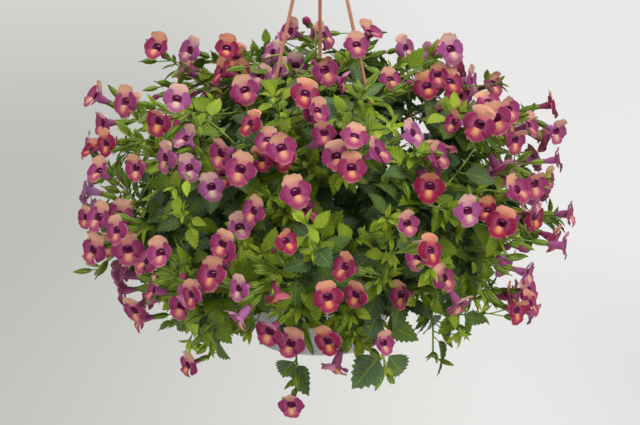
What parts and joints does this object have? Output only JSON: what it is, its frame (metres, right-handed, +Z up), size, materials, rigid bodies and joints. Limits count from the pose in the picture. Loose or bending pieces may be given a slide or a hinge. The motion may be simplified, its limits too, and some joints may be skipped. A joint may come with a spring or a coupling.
{
  "type": "torenia hanging basket",
  "caption": "Torenia in bloom in a pale plastic pot hung from a hook by thin rods; its leafy, flowering shoots mound up over the pot and trail below it.",
  "frame": {"origin": "where the hook bears on what it hangs from: the inside top of its crook", "axes": "+Z up, -Y towards the front of the basket, +X to the viewer's right"},
  "size_m": [0.4966, 0.5012, 0.5361],
  "materials": {
    "pot_plastic": "pale grey-white moulded plastic, satin",
    "rod_plastic": "terracotta-coloured moulded plastic, satin",
    "potting_mix": "moist peat and bark with white perlite grains",
    "leaf": "soft green leaves and stems with sunken veins, slightly glossy",
    "petal": "velvety petals: apricot upper lip, plum side lobes, rose lower lobe with a yellow spot"
  },
  "bodies": {
    "root": {"pot": "pot_plastic", "potting_mix": "potting_mix", "hanger_hook": "rod_plastic", "hanger_rod_back": "rod_plastic", "hanger_rod_left": "rod_plastic", "hanger_rod_right": "rod_plastic", "shoot_01": "leaf", "shoot_02": "leaf", "shoot_03": "leaf", "shoot_04": "leaf", "shoot_05": "leaf", "shoot_06": "leaf", "shoot_07": "leaf", "shoot_08": "leaf", "shoot_09": "leaf", "shoot_10": "leaf", "shoot_11": "leaf", "shoot_12": "leaf", "shoot_13": "leaf", "shoot_14": "leaf", "shoot_15": "leaf", "shoot_16": "leaf", "shoot_17": "leaf", "shoot_18": "leaf", "shoot_19": "leaf", "shoot_20": "leaf", "shoot_21": "leaf", "shoot_22": "leaf", "shoot_23": "leaf", "shoot_24": "leaf", "shoot_25": "leaf", "shoot_26": "leaf", "shoot_27": "leaf", "shoot_28": "leaf", "shoot_29": "leaf", "shoot_30": "leaf", "shoot_31": "leaf", "shoot_32": "leaf", "flower_01": "petal", "flower_02": "petal", "flower_03": "petal", "flower_04": "petal", "flower_05": "petal", "flower_06": "petal", "flower_07": "petal", "flower_08": "petal", "flower_09": "petal", "flower_10": "petal", "flower_11": "petal", "flower_12": "petal", "flower_13": "petal", "flower_14": "petal", "flower_15": "petal", "flower_16": "petal", "flower_17": "petal", "flower_18": "petal", "flower_19": "petal", "flower_20": "petal", "flower_21": "petal", "flower_22": "petal"}
  },
  "joints": []
}
